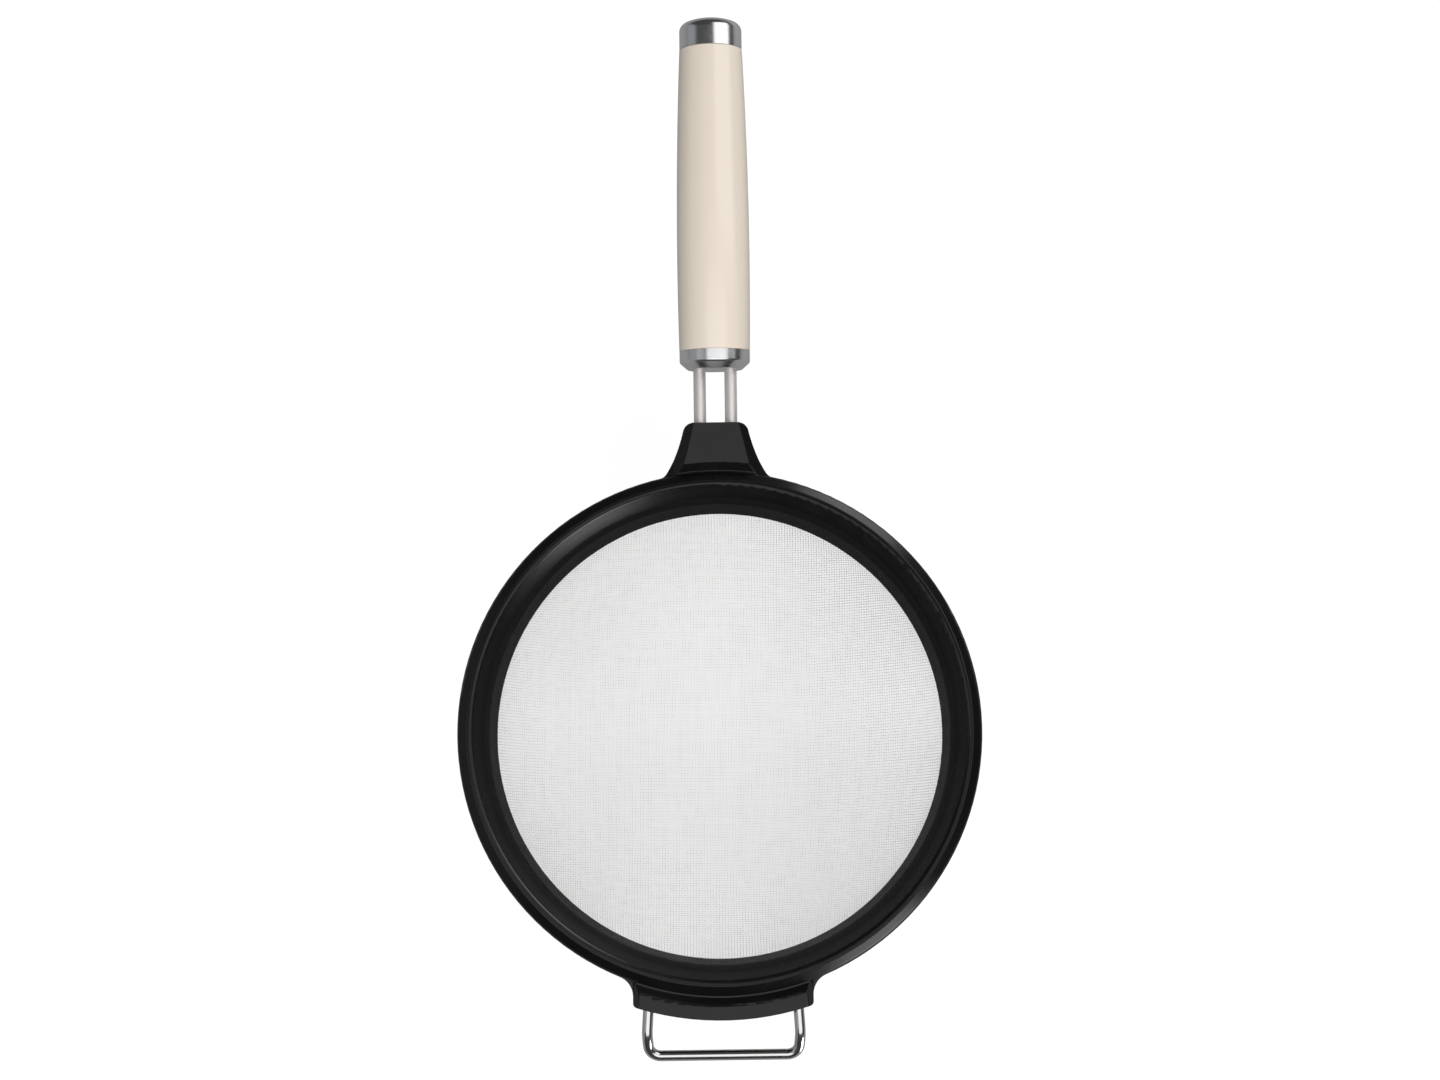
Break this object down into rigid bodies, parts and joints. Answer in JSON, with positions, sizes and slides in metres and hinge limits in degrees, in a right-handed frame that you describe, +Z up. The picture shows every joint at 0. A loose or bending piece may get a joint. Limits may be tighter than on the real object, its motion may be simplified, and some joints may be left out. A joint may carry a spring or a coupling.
{
  "type": "hand strainer",
  "caption": "Round fine mesh hand strainer with a black moulded rim, a long cream handle on twin steel rods and a wire rest loop opposite the handle.",
  "frame": {"origin": "on the bowl's axis, level with the rim's flat underside, where the centring skirt starts", "axes": "+Z up, out of the bowl's mouth; +Y along the handle, seen from above; +X to the right when the handle points away"},
  "size_m": [0.1908, 0.3806, 0.1083],
  "materials": {
    "black_plastic": "satin moulded black, fine grain",
    "mesh_steel": "woven bright stainless wire",
    "band_steel": "plain rolled strip",
    "rod_steel": "satin drawn wire",
    "loop_steel": "polished wire",
    "bright_chrome": "mirror chrome",
    "grip_plastic": "glossy cream moulding",
    "core_plastic": "plain natural moulding"
  },
  "bodies": {
    "root": {"rim_frame": "black_plastic", "funnel_ring": "black_plastic", "mesh_bowl": "mesh_steel", "mesh_edge_band": "band_steel", "frame_wire": "rod_steel", "front_loop": "loop_steel", "ferrule": "bright_chrome", "handle_shell": "grip_plastic", "handle_core": "core_plastic", "rod_cross_pin": "rod_steel", "cap_plug": "core_plastic", "end_cap": "bright_chrome"}
  },
  "joints": []
}
